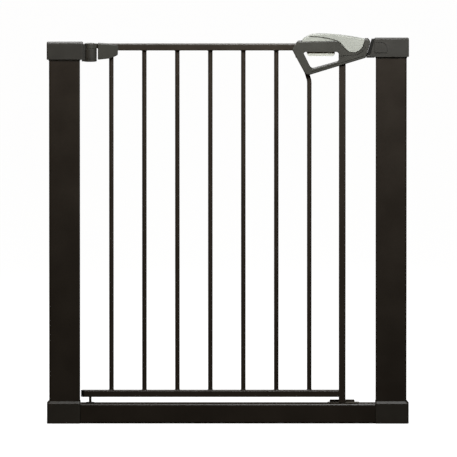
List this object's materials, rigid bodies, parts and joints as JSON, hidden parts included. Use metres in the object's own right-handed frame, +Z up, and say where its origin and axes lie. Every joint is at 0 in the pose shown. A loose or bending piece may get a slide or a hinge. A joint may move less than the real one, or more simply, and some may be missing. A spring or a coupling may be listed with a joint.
{
  "type": "safety baby gate",
  "caption": "Pressure-fit safety gate: U-shaped dark steel frame with a barred swing panel, lift-off catch at its foot and a squeeze-and-lift handle at its top corner.",
  "frame": {"origin": "on the floor, at the middle of the base rail", "axes": "+X from the hinge side to the latch side, +Z up, -Y towards the viewer of the front"},
  "size_m": [0.7056, 0.035, 0.762],
  "materials": {
    "painted_frame": "satin powder coat",
    "rail_paint": "satin powder coat",
    "black_plastic": "fine moulded grain",
    "cap_plastic": "fine moulded grain",
    "grey_plastic": "smooth moulded",
    "guide_nylon": "smooth nylon",
    "latch_plate": "satin coat on pressed steel",
    "plain_steel": "zinc-plated",
    "spring_steel": "drawn wire"
  },
  "bodies": {
    "frame": {"left_post": "painted_frame", "right_post": "painted_frame", "base_rail": "painted_frame", "left_foot": "cap_plastic", "right_foot": "cap_plastic", "hinge_cap": "cap_plastic", "latch_cap": "cap_plastic", "keeper": "guide_nylon", "strike_strip": "guide_nylon", "lower_hinge_bush": "guide_nylon", "base_catch": "latch_plate", "catch_cup": "guide_nylon", "catch_screws": "plain_steel", "spindle_guides": "guide_nylon", "frame_screws": "plain_steel"},
    "hinge_sleeve": {"hinge_sleeve": "guide_nylon"},
    "panel": {"top_rail": "rail_paint", "bottom_rail": "rail_paint", "bars": "rail_paint", "bent_bar": "rail_paint", "latch_stile": "rail_paint", "stile_foot": "guide_nylon", "rail_end_plug": "guide_nylon", "lower_hinge_pin": "plain_steel", "upper_hinge_pin": "plain_steel", "hinge_bracket_front": "black_plastic", "hinge_bracket_rear": "black_plastic", "bracket_screws": "plain_steel", "handle_front_shell": "black_plastic", "handle_rear_shell": "black_plastic", "handle_screws": "plain_steel", "lever_pivot_pin": "plain_steel", "trigger_spring": "spring_steel", "lever_spring": "spring_steel"},
    "finger_trigger": {"finger_trigger": "grey_plastic"},
    "latch_bolt": {"latch_bolt": "black_plastic", "cam_pin": "plain_steel"},
    "thumb_lever": {"thumb_lever": "grey_plastic"}
  },
  "joints": [
    {"name": "gate_swing", "type": "hinge", "parent": "frame", "child": "hinge_sleeve", "pos_m": [-0.2685, 0, 0.72], "axis": [0, 0, 1], "range_deg": [-90, 90]},
    {"name": "gate_lift", "type": "slide", "parent": "hinge_sleeve", "child": "panel", "axis": [0, 0, 1], "range_m": [0, 0.013]},
    {"name": "trigger_squeeze", "type": "slide", "parent": "panel", "child": "finger_trigger", "axis": [0, 0, 1], "range_m": [0, 0.005], "stiffness_N_per_m": 250, "springref_m": -0.016, "deforming": ["trigger_spring"]},
    {"name": "bolt_retract", "type": "slide", "parent": "panel", "child": "latch_bolt", "axis": [-1, 0, 0], "range_m": [0, 0.008]},
    {"name": "lever_press", "type": "hinge", "parent": "panel", "child": "thumb_lever", "pos_m": [0.2445, 0, 0.7469], "axis": [0, -1, 0], "range_deg": [0, 2], "stiffness_Nm_per_rad": 1.5, "springref_deg": -14.32, "deforming": ["lever_spring"]}
  ],
  "couplings": [
    {"joint": "bolt_retract", "follows": "trigger_squeeze", "ratio": 1.6}
  ]
}
